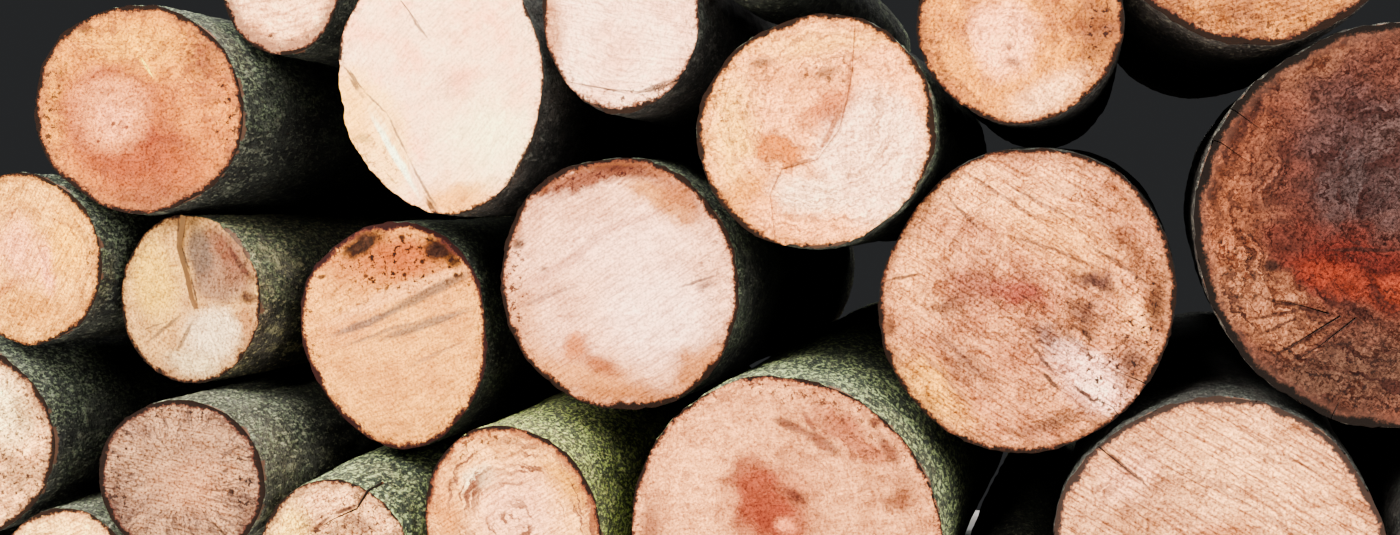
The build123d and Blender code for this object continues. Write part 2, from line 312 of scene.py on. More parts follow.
class Finish:
    """A material that is built up layer by layer: a colour, and a height in millimetres for its bump.

    Its colours are those of the bare surface, which this room's light shows as the real wood and bark look.
    """

    def __init__(self, name, colour):
        self.material = bpy.data.materials.new(name)
        self.material.use_nodes = True
        self.tree = self.material.node_tree
        self.tree.nodes.clear()
        self.colour = hex_colour(colour)
        self.height = 0.0

    def paint(self, colour, amount, blend="MIX"):
        """Lays a colour over what is there, where amount says."""
        layers = {AMOUNT: amount, UNDER: self.colour, OVER: hex_colour(colour)}
        self.colour = add(
            self.tree, "Mix", layers, MIXED, data_type="RGBA", blend_type=blend, clamp_factor=True
        )

    def vary(self, value, spread, strength, shade):
        """Darkens what is there where a noise is high, and lightens it where it is low."""
        self.paint(shade, self.between(value, 0.5, 0.5 + spread, strength), "MULTIPLY")
        self.paint(GLEAM, self.between(value, 0.5, 0.5 - spread, strength * 0.8), "DODGE")

    def raise_by(self, amount, millimetres):
        self.height = self.number("MULTIPLY_ADD", amount, millimetres, self.height)

    def between(self, value, low, high, top=1.0):
        """A value's share of the way from low to high, eased at both ends."""
        links = {"Value": value, "From Min": low, "From Max": high, "To Max": top}
        return add(self.tree, "MapRange", links, interpolation_type="SMOOTHSTEP")

    def grain(self, where, size, detail=3.0, roughness=0.55, warp=0.0):
        """Noise with features of a size in the units of where."""
        look = {"Scale": 1 / size, "Detail": detail, "Roughness": roughness, "Distortion": warp}
        return add(self.tree, "TexNoise", {"Vector": where, **look})

    def number(self, way, *terms):
        return add(self.tree, "Math", dict(enumerate(terms)), operation=way)

    def vector(self, way, *terms, out=0):
        return add(self.tree, "VectorMath", dict(enumerate(terms)), out, operation=way)

    def length(self, vector):
        return self.vector("LENGTH", vector, out=1)

    def both(self, first, second):
        return self.number("MULTIPLY", first, second)

    def close(self, roughness, specular, bump):
        """Joins the layers to the shader. The bump reads heights in millimetres."""
        relief = add(self.tree, "Bump", {"Height": self.height, "Strength": bump, "Distance": MM})
        links = {"Base Color": self.colour, "Roughness": roughness, "Specular IOR Level": specular}
        shader = add(self.tree, "BsdfPrincipled", {**links, "Normal": relief})
        add(self.tree, "OutputMaterial", {"Surface": shader})
        return self.material


# What a sawn end shows where its look says nothing else. Amounts go from 0 to 1, widths and spacings are in
# millimetres, and angles in degrees. Chips is the share of the rim where bark broke off.
# Side is the colour of painted shade on the walls of cracks and steps
PLAIN_END = dict(
    specks=(), bark="mossy_bark", chips=0.4, pith=(0, 0), rings=0.6, ring_spacing=4, ring_colour="643C25",
    strokes=0.4, rays=0.3, ray_colour="593322", texture=0.7, saw=0.45, saw_angle=30, saw_length=32,
    saw_spacing=2.5, speck_colour="25120C", dirt=0.8, rim=0.6, rim_width=16, rim_colour="7A3F1C",
    bark_width=4, inner_bark="3B1B13", outer_bark="0D0805", side="3C332F",
)

# Sizes of a sawn end's patterns, in millimetres. Fur, the fine grain, is drawn twice as coarse as it is.
DRIFT, CLOUD, RING_ZONE, MOTTLE, FUR, MOULD, STROKE = 34, 42, 60, 17, 3.0, 8, 3.2
RIM_NOTCH, RIM_WAVE = 6, 40

# How far the rim's layers wander in and out, in millimetres
RIM_WANDER = 18.0

# How far stains and marks of painted shade wander, in shares of the radius. One narrower than those
# hundredths keeps its line.
WANDER, STEADY, NARROW = 0.34, 0.07, 10

# Steps between the patterns of one log and the next: to the right, up, and outwards from the pith
SEED_RIGHT, SEED_UP, SEED_OUT = 311.0, 173.0, 9.0


def as_shares(*hundredths):
    return tuple(number / 100 for number in hundredths)


def end_look(*stains, **settings):
    """What a sawn end shows: its stains and painted shade, the lowest first, and where it differs from the
    plain one.

    A stain or a mark of painted shade is an oval: the middle, the half widths and the turn, then the
    colour, how strong it is, and how soft its edge is. A patch of specks is an oval and its amount. All but
    the turn are in hundredths.
    """
    return PLAIN_END | settings | {"stains": stains}


def line(right, up, far_right, far_up, width, colour, strength=80):
    """A stain or painted shade drawn out from one place to another, such as a scratch, a saw track or a
    closed crack.
    """
    middle = ((right + far_right) / 2, (up + far_up) / 2)
    run, rise = far_right - right, far_up - up
    turn = math.degrees(math.atan2(rise, run))
    return (*middle, math.hypot(run, rise) / 2, width, turn, colour, strength, 50)


def sawn_wood(name, radius, seed, look):
    """A chainsawn end: pale fresh wood, with its rings, rays, saw marks, stains and rim of bark.

    The chain leaves a furry, matt surface, so the colour changes softly and nothing shines.
    """
    wood = Finish(name, look["wood"])
    tree = wood.tree
    size = radius / MM
    on_disc = add(tree, "UVMap", {}, uv_map="end")
    shares = wood.vector("MULTIPLY_ADD", on_disc, (2, 2, 0), (-1, -1, 0))
    start = (seed * SEED_RIGHT, seed * SEED_UP, 0)
    flat = wood.vector("MULTIPLY_ADD", shares, (size, size, 0), start)
    drift = add(tree, "TexNoise", {"Vector": flat, "Scale": 1 / DRIFT, "Detail": 5.0, "Roughness": 0.65}, 1)
    drift = wood.vector("SUBTRACT", drift, (0.5, 0.5, 0.5))
    place, steady = (wood.vector("MULTIPLY_ADD", drift, (far, far, 0), shares) for far in (WANDER, STEADY))

    def seen_from(where, middle, sizes, turn):
        """A place as an oval sees it: from its middle, along its axes, in its half widths."""
        links = {"Vector": where, "Location": (*middle, 0), "Rotation": (0, 0, math.radians(turn))}
        return add(tree, "Mapping", {**links, "Scale": (*sizes, 1)}, vector_type="TEXTURE")

    def from_oval(right, up, wide, high, turn):
        """Distance from the middle of an oval, 1 at its edge."""
        where = steady if min(wide, high) < NARROW else place
        return wood.length(seen_from(where, as_shares(right, up), as_shares(wide, high), turn))

    # Broad colour changes of the wood
    wood.paint(look["deep"], wood.between(wood.grain(flat, CLOUD, 4.0, 0.6), 0.42, 0.66, 0.8))

    # Zones, stains and painted shade, from the largest to the smallest
    for *oval, colour, strength, soft in look["stains"]:
        strength, soft = as_shares(strength, soft)
        wood.paint(colour, wood.between(from_oval(*oval), 1 + soft * 0.4, 1 - soft, strength))

    # What grew round the pith: rings, short strokes along them, and rays across them
    from_pith = wood.vector("SUBTRACT", place, (*as_shares(*look["pith"]), 0))
    far = wood.length(from_pith)
    way = wood.vector("NORMALIZE", from_pith)

    def around_pith(sectors, layers):
        """A place told by its way and distance from the pith, for a pattern of sectors and layers."""
        out = wood.number("MULTIPLY_ADD", far, layers, seed * SEED_OUT)
        return wood.vector("MULTIPLY_ADD", way, (sectors, sectors, 0), add(tree, "CombineXYZ", {2: out}))

    rings = wood.grain(around_pith(0.7, size / look["ring_spacing"]), 1, 2.0, 0.6)
    ring_zone = wood.between(wood.grain(flat, RING_ZONE, 1.0), 0.3, 0.6, look["rings"])
    wood.paint(look["ring_colour"], wood.both(wood.between(rings, 0.5, 0.6), ring_zone))
    strokes = wood.grain(around_pith(6, size / STROKE), 1, 3.0, 0.65)
    wood.vary(strokes, 0.12, look["strokes"], FIBRE_SHADE)
    rays = wood.grain(around_pith(22, 2.6), 1, 2.0, 0.6)
    beyond = wood.between(far, 0.05, 0.6, look["rays"])
    wood.paint(look["ray_colour"], wood.both(wood.between(rays, 0.5, 0.6), beyond))

    # Mottles about a fingertip wide, and marks of the saw side by side across the whole end
    mottles = wood.grain(flat, MOTTLE)
    wood.vary(mottles, 0.16, look["texture"] * 0.5, MOTTLE_SHADE)
    stroke = (look["saw_length"], look["saw_spacing"])
    marks = wood.grain(seen_from(flat, (0, 0), stroke, look["saw_angle"]), 1, 3.0, 0.6, 0.2)
    wood.vary(marks, 0.12, look["saw"], FIBRE_SHADE)
    fur = wood.grain(flat, FUR, 2.0, 0.65)
    wood.vary(fur, 0.14, look["texture"], FIBRE_SHADE)

    # Specks of mould and dirt, of all sizes, in patches and along the rim
    mould = wood.grain(flat, MOULD, 4.0, 0.75)
    for *oval, amount in look["specks"]:
        patch = wood.between(from_oval(*oval), 1.2, 0.5, *as_shares(amount))
        wood.paint(look["speck_colour"], wood.both(wood.between(mould, 0.55, 0.59), patch))
    depth = wood.number("MULTIPLY_ADD", wood.length(shares), -size, size)
    near_rim = wood.between(depth, 26, 2, look["dirt"])
    wood.paint(look["speck_colour"], wood.both(wood.between(mould, 0.53, 0.59), near_rim))

    # The rim: stained sapwood, the thin red inner bark and the dark outer bark, all of uneven width
    for uneven in (wood.grain(flat, RIM_NOTCH, 5.0, 0.85), wood.grain(flat, RIM_WAVE, 3.0, 0.6)):
        depth = wood.number("MULTIPLY_ADD", uneven, -RIM_WANDER, depth)
    rim = look["rim_width"] - RIM_WANDER
    wood.paint(look["rim_colour"], wood.between(depth, rim, rim - 12, look["rim"]))
    bark = look["bark_width"] - RIM_WANDER
    wood.paint(look["inner_bark"], wood.between(depth, bark + 2.6, bark + 0.8, 0.85))
    wood.paint(look["outer_bark"], wood.between(depth, bark + 0.6, bark - 0.8, 0.95))

    # Where a crack or a step turns away from the cut, its wall takes the side colour: painted shade in the
    # crack or step
    facing = add(tree, "NewGeometry", {}, "True Normal")
    ahead = wood.number("ABSOLUTE", add(tree, "SeparateXYZ", {0: facing}, 1))
    wood.paint(look["side"], wood.between(ahead, 0.8, 0.4))

    for amount, millimetres in ((marks, 0.7), (fur, 0.5), (rays, 0.5), (mottles, 0.8)):
        wood.raise_by(amount, millimetres)
    return wood.close(roughness=0.9, specular=0.04, bump=0.8)


# What a bark shows where its look says nothing else: the size of its granules is in millimetres
PLAIN_BARK = dict(lichen=0.5, granule=3.6, moss_from=0.55, moss_amount=0.9)

# Sizes of a bark's patterns, in millimetres
PATCH, WEATHERING, TUFT, COVER, PORE, GRIT, DOT, TEAR = 50, 20, 9, 60, 6, 3.6, 4.5, 4


def bark(name, look):
    """Thin bark, grey where it is dry and green where algae and moss hold the damp.

    It grew smooth with fine wrinkles, and where it broke off at a cut the red inner bark shows.
    """
    look = PLAIN_BARK | look
    skin = Finish(name, look["bark"])
    tree = skin.tree
    point = add(tree, "TexCoord", {}, "Object")
    flat = add(tree, "VectorMath", {0: point, "Scale": 1 / MM}, operation="SCALE")
    stretched, squeezed = (skin.vector("MULTIPLY", flat, scale) for scale in ((1, 0.4, 1), (0.4, 2, 0.4)))

    patches = skin.grain(stretched, PATCH, 5.0, 0.65)
    skin.paint(look["dark"], skin.between(patches, 0.44, 0.6, 0.85))
    weathered = skin.grain(stretched, WEATHERING, 5.0, 0.75)
    skin.paint(look["pale"], skin.between(weathered, 0.52, 0.68, look["lichen"]))

    # Moss and algae lie thickest on top and near both ends, where light and rain reach
    facing = add(tree, "NewGeometry", {}, "Normal")
    upward = add(tree, "SeparateXYZ", {0: facing}, 2)
    along = skin.number("ABSOLUTE", add(tree, "SeparateXYZ", {0: point}, 1))
    tufts = skin.grain(stretched, TUFT, 5.0, 0.8)
    granules = skin.grain(stretched, look["granule"], 2.0, 0.6)
    cover = skin.grain(stretched, COVER, 4.0, 0.65)
    lean = skin.number("MULTIPLY_ADD", upward, 0.2, cover)
    lean = skin.number("ADD", lean, skin.between(along, 0.28, 0.54, 0.12))
    start = look["moss_from"]
    thick = skin.between(lean, start, start + 0.2, look["moss_amount"])
    skin.paint(look["moss"], skin.both(thick, skin.between(tufts, 0.38, 0.56)))
    skin.paint(look["moss_light"], skin.both(thick, skin.between(granules, 0.5, 0.62)))

    # Pores in short rows across the grain, and specks of grit and lichen
    skin.paint(look["dark"], skin.between(skin.grain(squeezed, PORE, 3.0, 0.6), 0.54, 0.68, 0.7))
    grit = skin.grain(flat, GRIT, 4.0, 0.8)
    skin.vary(grit, 0.1, 0.9, GRIT_SHADE)
    skin.paint(look["pale"], skin.between(skin.grain(stretched, DOT, 3.0, 0.7), 0.57, 0.64, 0.6))

    # Deep in the stack the bark is painted darker: painted shade of the logs around it
    skin.paint("555450", skin.between(along, 0.5, 0.3, 0.8), "MULTIPLY")

    # Broken edges at the cut
    bared = add(tree, "Attribute", {}, "Fac", attribute_name="bared", attribute_type="GEOMETRY")
    torn = skin.number("ADD", bared, skin.grain(flat, TEAR))
    skin.paint("53392B", skin.between(torn, 0.8, 1.0, 0.9))

    for amount, millimetres in ((weathered, 1.6), (tufts, 1.4), (granules, 1.0), (grit, 0.6)):
        skin.raise_by(amount, millimetres)
    return skin.close(roughness=0.95, specular=0.08, bump=1.0)


# Barks, by how much grows on them
BARKS = {
    "grey_bark": dict(
        bark="414038", dark="1F1F1B", pale="9A9A7A", moss="34372C", moss_light="687053", moss_from=0.52,
        moss_amount=0.7
    ),
    "olive_bark": dict(
        bark="4A453B", dark="23211A", pale="AEA374", moss="393D2E", moss_light="6F7550", moss_from=0.46,
        lichen=0.6
    ),
    "mossy_bark": dict(
        bark="2E2F29", dark="171715", pale="6B6D5B", moss="2A2E26", moss_light="626B50", moss_from=0.48,
        lichen=0.4
    ),
    "lush_bark": dict(
        bark="33342C", dark="1D211A", pale="8B8C63", moss="30372B", moss_light="929F67", moss_from=0.36,
        lichen=0.4, granule=4.6
    ),
    "bright_bark": dict(
        bark="464737", dark="2A2C1D", pale="C7C476", moss="42462F", moss_light="9EAC53", moss_from=0.36,
        lichen=0.6
    ),
    "brown_bark": dict(
        bark="2A2622", dark="151311", pale="4C4942", moss="252823", moss_light="43463D", moss_from=0.56,
        moss_amount=0.7
    ),
    "thick_bark": dict(
        bark="37312C", dark="1E1916", pale="7A7162", moss="292B25", moss_light="44463E", moss_from=0.6
    ),
}

# Wood of the plain ends, which the hidden logs and all back ends have. At the back it is laid out for one
# radius, with seeds of its own.
BACK_RADIUS, BACK_SEED = 0.12, 40
PLAIN_WOODS = {
    "pale": end_look(wood="FFC26B", deep="DF944B", rings=0.5, rays=0.4, saw_angle=25, rim_colour="9D633E"),
    "tan": end_look(wood="DB8D43", deep="B06D3A", rays=0.45, saw_angle=70, rim_colour="7C4D33"),
    "weathered": end_look(
        wood="5A3E33", deep="4B3129", ring_colour="392119", rays=0.6, rim_colour="422A21"
    ),
}

# Each log's sawn end, and its bark
LOOKS = {}
LOOKS["upper_log_1"] = end_look(
    (15, -62, 80, 40, 4, "87411A", 90, 80),
    (0, 60, 90, 40, 0, "C0780E", 80, 80),
    (-80, 10, 20, 60, 0, "B77118", 80, 80),
    (-14, -10, 62, 58, 0, "873F15", 90, 60),
    (10, -84, 55, 16, 0, "68371F", 80, 90),
    (-5, -46, 70, 30, 4, "763316", 85, 70),
    (0, -28, 50, 10, 2, "672613", 85, 80),
    (-60, -10, 14, 36, 10, "7A361A", 85, 80),
    (-5, 62, 50, 20, 0, "CE8916", 60, 80),
    (-26, -2, 40, 40, 0, "CA793F", 95, 55),
    (-30, 34, 34, 8, 22, "7D3A1B", 70, 80),
    (-24, -8, 20, 18, 0, "DE8652", 80, 80),
    line(-12, 75, 22, 25, 5, "E0920C", 70),
    line(4, 50, 16, 30, 1.2, "FFDB34", 90),
    line(-62, 82, -48, 55, 4, "DC922A", 60),
    (-52, 76, 9, 8, -35, "27170D", 85, 60),
    (-60, 84, 6, 5, -35, "27170D", 70, 60),
    (68, 45, 16, 30, 15, "582E1B", 70, 80),
    (-24, -13, 2.2, 2.2, 0, "280A07", 90, 50),
    (-13, -17, 3, 2, 0, "4B1B11", 90, 50),
    (-40, -28, 2.2, 2, 0, "461810", 90, 50),
    specks=(
        (-85, 10, 16, 70, 0, 90), (85, -5, 16, 60, 0, 100), (60, 50, 30, 20, -40, 60),
        (-20, -15, 16, 10, 0, 40),
    ),
    chips=0.5, wood="B8691F", deep="9B531E", pith=(-20, -12), rings=0.5, ring_spacing=5,
    ring_colour="6B341D", strokes=0.35, rays=0.55, ray_colour="68321C", saw=0.1, rim_colour="744424",
    bark_width=5,
)
LOOKS["top_log_1"] = end_look(
    specks=((0, -85, 90, 18, 0, 90),),
    chips=0.5, wood="FFB67E", deep="CE8956", rings=0.15, rays=0.15, texture=0.5, saw=0.6, saw_angle=5,
    saw_length=30, saw_spacing=6, rim=0.85, rim_width=22, rim_colour="6F4630",
)
LOOKS["upper_log_2"] = end_look(
    (-70, -42, 42, 64, 26, "FFB85F", 90, 35),
    (-85, -25, 20, 40, 10, "EBA131", 60, 70),
    (14, -86, 42, 18, 8, "D08201", 85, 70),
    (45, -40, 50, 40, 0, "FFEDA0", 70, 90),
    line(-64, -20, -20, -84, 4, "FFFFC6", 90),
    (-72, -42, 9, 5, 0, "584D27", 60, 80),
    (15, 5, 22, 15, 0, "C87D58", 50, 90),
    (-8, -93, 9, 2.5, -50, "3B2618", 90, 60),
    # Painted shade along the edge of the felling step
    line(-91, 20, -74, -4, 1.4, "352920"),
    line(-76, -3, -50, -25, 1.2, "514336"),
    line(-52, -23, -27, -62, 1.2, "5B493A"),
    line(-28, -60, 0, -98, 1.6, "453528"),
    line(-27, 60, -8, 36, 1.2, "533C2D"),
    specks=((-60, -60, 35, 30, 30, 50),),
    bark="brown_bark", chips=0.2, wood="FFBE8A", deep="FF9F6C", rings=0.05, strokes=0.2, rays=0.06,
    texture=0.35, saw=0.25, saw_angle=40, dirt=0.5, rim_width=9, rim_colour="9C5C28", bark_width=2,
)
LOOKS["top_log_2"] = end_look(
    (-88, -10, 20, 70, 0, "965B34", 80, 80),
    (68, -70, 10, 5, 25, "2E1C14", 85, 70),
    # Painted shade along the edge of the felling step
    line(-50, -72, 10, -82, 2, "664E3D"),
    line(10, -82, 70, -70, 2, "5A4535"),
    specks=((30, -85, 70, 14, 0, 80),),
    bark="brown_bark", chips=0.35, wood="FFBF95", deep="DB9670", rings=0.05, rays=0.1, texture=0.4,
    saw=0.35, saw_angle=-12, rim_width=12, rim_colour="8E522C", bark_width=2.5,
)
LOOKS["top_log_3"] = end_look(wood="CB8D51", deep="935E34", rings=0.35)
LOOKS["upper_log_3"] = end_look(
    (48, -22, 50, 62, 20, "FFBC8D", 95, 30),
    (-5, -52, 36, 20, -8, "FFC492", 90, 50),
    (-70, 0, 25, 60, 0, "E9A735", 70, 80),
    (0, 75, 70, 16, 0, "D79730", 60, 80),
    (10, 20, 30, 20, 50, "92471D", 90, 70),
    (-32, -14, 26, 13, -22, "9D4E0A", 95, 40),
    (-45, -26, 20, 10, 0, "E2924D", 80, 50),
    (-47, 60, 14, 5, 10, "4D3322", 80, 80),
    (8, 50, 12, 6, 10, "43291A", 85, 70),
    (-70, -62, 20, 50, -45, "B56900", 70, 70),
    # Painted shade along the edge of the felling step
    line(30, 62, 26, 28, 2, "804627", 80),
    line(26, 28, 2, -22, 3, "7B3F1D", 80),
    line(2, -22, -30, -30, 2, "723F1F", 80),
    specks=((-60, 25, 45, 50, 0, 60), (10, 50, 30, 12, 0, 80)),
    wood="EC9553", deep="C57736", pith=(8, 20), ring_colour="89512A", strokes=0.5, rays=0.15, texture=0.65,
    # Side is the painted shade on the wall of the felling step
    saw=0.2, saw_angle=20, rim=0.7, rim_colour="8B5119", bark_width=5.5, side="975D35",
)
LOOKS["top_log_4"] = end_look(
    (-16, -18, 36, 42, 0, "FFA368", 95, 50),
    (74, -8, 30, 50, 0, "5B301C", 90, 80),
    (30, -72, 46, 20, 28, "FEB475", 85, 100),
    (-5, -40, 10, 5, -30, "4C2C20", 80, 80),
    (-10, -25, 4, 4, 0, "3B2119", 80, 80),
    specks=((78, -15, 22, 50, 0, 100), (-10, -30, 20, 20, 0, 60), (-80, -30, 20, 50, 0, 60)),
    bark="brown_bark", chips=0.35, wood="CB7A1C", deep="955124", pith=(-16, -20), ring_spacing=6,
    ring_colour="6D391E", strokes=0.35, rays=0.35, saw=0.25, saw_angle=60, rim_colour="733F1F",
)
LOOKS["top_log_5"] = end_look(
    specks=((0, -90, 90, 15, 0, 80),),
    bark="thick_bark", wood="985B22", deep="714020", rings=0.8, ring_spacing=6, ring_colour="59331E",
    strokes=0.6, rays=0.25, texture=0.8, saw_angle=15, rim_colour="4C2D1E", bark_width=8,
)
LOOKS["middle_log_6"] = end_look(
    (-84, -5, 17, 60, 0, "733F24", 95, 80),
    (-72, 50, 20, 30, -40, "572C19", 90, 80),
    (-45, 82, 40, 12, 30, "522F1D", 80, 80),
    (-15, 36, 52, 50, 0, "30201E", 90, 70),
    (-22, 20, 30, 26, 0, "2A201E", 85, 90),
    (0, 42, 20, 24, 20, "382824", 75, 90),
    (-10, 75, 24, 14, 0, "412117", 70, 80),
    (-52, 12, 14, 55, 8, "391911", 75, 80),
    (-66, 20, 10, 30, 4, "593221", 70, 90),
    (-22, -20, 50, 22, -12, "3B100A", 95, 60),
    (-30, -26, 24, 9, -18, "5A1C0C", 95, 70),
    (2, -30, 24, 10, 6, "5B1F0E", 95, 70),
    (-14, -28, 3, 10, 10, "260905", 80, 80),
    (-55, -8, 14, 8, 0, "35160F", 80, 80),
    (-66, -40, 36, 20, -40, "76482D", 95, 60),
    (-62, -20, 5, 4, 0, "120806", 90, 60),
    (-20, -72, 60, 22, 10, "3C271C", 90, 70),
    line(-30, -44, -70, -35, 1.4, "1F0D08"),
    line(-42, -40, -74, -47, 1.2, "230F0A"),
    line(-46, -44, -70, -55, 1, "25120C"),
    line(-27, -44, -63, -66, 1.4, "1F0D08"),
    line(-20, -44, -57, -71, 1.4, "230F0A"),
    line(-30, -50, -48, -72, 1, "25120C"),
    line(5, -10, -40, -12, 1.2, "190A07"),
    specks=((-20, -75, 80, 30, 0, 80), (-10, 50, 70, 50, 0, 50), (-80, -20, 15, 30, 0, 80)),
    bark="thick_bark", chips=0.5, wood="462519", deep="31150E", pith=(5, 10), rings=0.85, ring_spacing=9,
    ring_colour="1F0B08", strokes=1, rays=0.45, ray_colour="25120D", texture=0.8, saw=0.25, saw_angle=60,
    speck_colour="120806", dirt=0.9, rim=0.5, rim_width=20, rim_colour="472B20", bark_width=8,
    inner_bark="1E110B", outer_bark="0A0705",
)
LOOKS["middle_log_1"] = end_look(
    (-10, 10, 30, 45, 10, "DE8A5A", 85, 80),
    (25, -10, 12, 36, 8, "E88D61", 80, 80),
    (-30, -35, 30, 10, 20, "915023", 75, 80),
    (55, 20, 30, 50, 0, "E49902", 70, 80),
    (10, -60, 60, 25, 0, "A16116", 70, 80),
    line(20, 55, 75, 35, 3, "7E481F", 60),
    line(10, 30, 30, -20, 2, "824C29", 60),
    specks=((90, 0, 12, 40, 0, 80),),
    chips=0.45, wood="D79338", deep="AF712A", rings=0.4, strokes=0.5, rays=0.25, texture=0.65, saw_angle=60,
    rim_colour="814C1A",
)
LOOKS["middle_log_2"] = end_look(
    (-50, 25, 42, 60, 8, "CB981F", 85, 70),
    (32, -42, 42, 36, 20, "D4B283", 95, 50),
    (6, -78, 40, 18, -10, "CAAA75", 90, 70),
    (82, -30, 16, 36, 10, "905A2D", 85, 80),
    (42, 42, 50, 50, -40, "704B34", 95, 40),
    (8, 52, 18, 44, 8, "4E3E31", 90, 60),
    (50, 52, 46, 18, -49, "5E3421", 90, 80),
    (36, 10, 36, 14, -10, "75543A", 85, 80),
    line(44, 68, 92, 20, 5, "3B1C14", 85),
    (82, 4, 14, 9, 0, "270F0A", 90, 60),
    (94, 14, 5, 7, 20, "FFC460", 95, 40),
    # Painted shade along the split, darkest at the top
    line(-10, 98, -15, 64, 2, "2E1B14", 90),
    line(-15, 64, -5, 30, 1.6, "3B2C23", 90),
    line(-5, 30, 6, -12, 1.4, "48362B", 80),
    line(-8, -17, -62, -56, 3, "523A25", 85),
    line(6, -22, -20, -68, 3, "5A3F27", 80),
    line(-30, -28, -66, -40, 1.2, "4E3826", 70),
    specks=((70, 30, 30, 40, 0, 70),),
    bark="olive_bark", wood="B88545", deep="94683F", pith=(0, -10), rings=0.12, strokes=0.3, rays=0.35,
    # Side is the painted shade on the walls of the split and the torn half
    ray_colour="60442D", saw=0.2, saw_angle=70, rim=0.4, rim_colour="6D4929", bark_width=2.5, side="89643D",
)
LOOKS["middle_log_3"] = end_look(
    (0, 66, 90, 34, 0, "96491A", 85, 80),
    (10, 70, 40, 20, 0, "84370D", 70, 90),
    (-45, 5, 50, 16, 24, "BD7433", 80, 80),
    line(-75, 10, 85, 66, 7.5, "D88E49", 80),
    line(-70, -2, 15, 27, 4.5, "5E4638", 85),
    line(-10, 18, 80, 62, 5.5, "4D3C31", 80),
    line(-60, -12, 40, 20, 2, "705038", 70),
    line(-20, -6, 85, 30, 5, "614837", 80),
    line(10, -30, 80, -2, 2, "865838", 60),
    (-27, 82, 24, 11, 12, "1E1009", 100, 60),
    (-30, 90, 30, 5, 8, "2C180E", 80, 80),
    (46, 77, 20, 14, -30, "1D0E09", 100, 60),
    (58, 66, 8, 6, 0, "1F0F08", 90, 80),
    (9, 86, 3.5, 2.8, 0, "150705", 95, 50),
    (28, 65, 3, 2.6, 0, "150705", 95, 50),
    (11, 54, 2.8, 2.4, 0, "150705", 95, 50),
    (-25, 54, 3, 2, 0, "1F0D08", 90, 50),
    (60, 56, 3, 2.6, 0, "180805", 95, 50),
    (-70, 54, 5, 2, 10, "1F0D08", 90, 50),
    specks=((10, 66, 85, 34, 0, 100), (-88, 0, 12, 80, 0, 70), (-30, 40, 50, 20, 20, 50)),
    chips=0.35, wood="D78C36", deep="BB732D", pith=(5, 10), rings=0.1, strokes=0.25, rays=0.1, texture=0.6,
    saw=0.3, saw_angle=25, saw_length=35, speck_colour="1F0D07", rim_width=12, rim_colour="70361B",
    bark_width=5, inner_bark="431E19", outer_bark="190A09",
)
LOOKS["middle_log_4"] = end_look(
    (30, -22, 50, 42, -10, "FFC2A0", 85, 60),
    (10, 30, 60, 30, 10, "FBBB97", 70, 90),
    (-82, -35, 20, 60, 15, "AE6F41", 80, 80),
    (-30, -75, 70, 22, -12, "A96423", 85, 70),
    (62, -64, 42, 20, 38, "9A5823", 90, 80),
    (10, -86, 50, 12, 0, "90501F", 85, 80),
    (35, 68, 42, 12, -30, "A56428", 90, 70),
    (-30, 82, 50, 12, 18, "562717", 95, 60),
    (15, 90, 40, 9, -8, "542818", 95, 60),
    (50, 70, 30, 12, -38, "844721", 90, 70),
    (-10, 94, 50, 5, 2, "34150F", 95, 80),
    (-60, 74, 5, 6, 0, "2F0805", 95, 50),
    (-86, 30, 4, 5, 0, "271B16", 85, 70),
    (-62, 12, 5, 3, 0, "483329", 70, 80),
    (-86, 46, 9, 18, 20, "724023", 80, 70),
    (-82, 30, 5, 5, 0, "2E1E17", 80, 80),
    (-36, -50, 12, 12, -30, "A25624", 90, 70),
    (-16, -64, 22, 9, -20, "7E3E1B", 90, 80),
    (72, 0, 10, 4, 20, "674A3C", 70, 80),
    line(-80, -5, -10, 36, 5, "A5684E", 60),
    line(-30, 36, 40, 60, 4, "B47558", 60),
    line(-85, -20, -30, 0, 2, "785140", 60),
    line(50, -2, 84, 10, 1.4, "443028", 80),
    specks=((-20, 86, 80, 14, 10, 100), (-88, 0, 12, 70, 0, 90), (75, 10, 20, 40, 0, 50)),
    wood="E29F76", deep="C1815D", rings=0.08, strokes=0.25, rays=0.1, texture=0.5, saw=0.4, saw_angle=32,
    speck_colour="2D100A", rim=0.75, rim_width=14, rim_colour="824721", bark_width=5.5,
)
